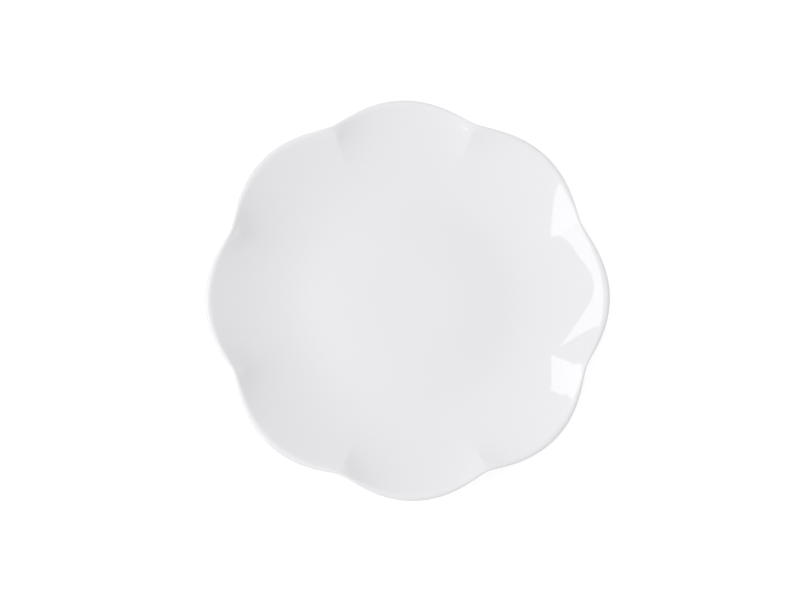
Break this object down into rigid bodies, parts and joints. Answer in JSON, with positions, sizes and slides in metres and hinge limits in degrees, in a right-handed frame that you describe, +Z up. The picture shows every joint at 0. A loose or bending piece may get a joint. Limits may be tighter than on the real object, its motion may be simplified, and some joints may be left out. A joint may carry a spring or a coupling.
{
  "type": "scalloped dessert plate",
  "caption": "Shallow white porcelain dessert plate with a crowned well, a petal-shaped scalloped rim with ridges between the petals, and a turned foot ring.",
  "frame": {"origin": "centre of the plane that the foot ring stands on", "axes": "+Z up through the middle of the plate; +X and +Y each run to the tip of a petal"},
  "size_m": [0.21, 0.21, 0.0228],
  "materials": {
    "fired_clay": "matt unglazed porcelain, finely grained, ground smooth on the standing band",
    "white_glaze": "high gloss clear glaze over white porcelain",
    "recess_glaze": "gloss clear glaze, a little thicker and cooler in the hollow under the plate"
  },
  "bodies": {
    "root": {"porcelain_body": "fired_clay", "glaze_coat": "white_glaze", "foot_recess_glaze": "recess_glaze"}
  },
  "joints": []
}
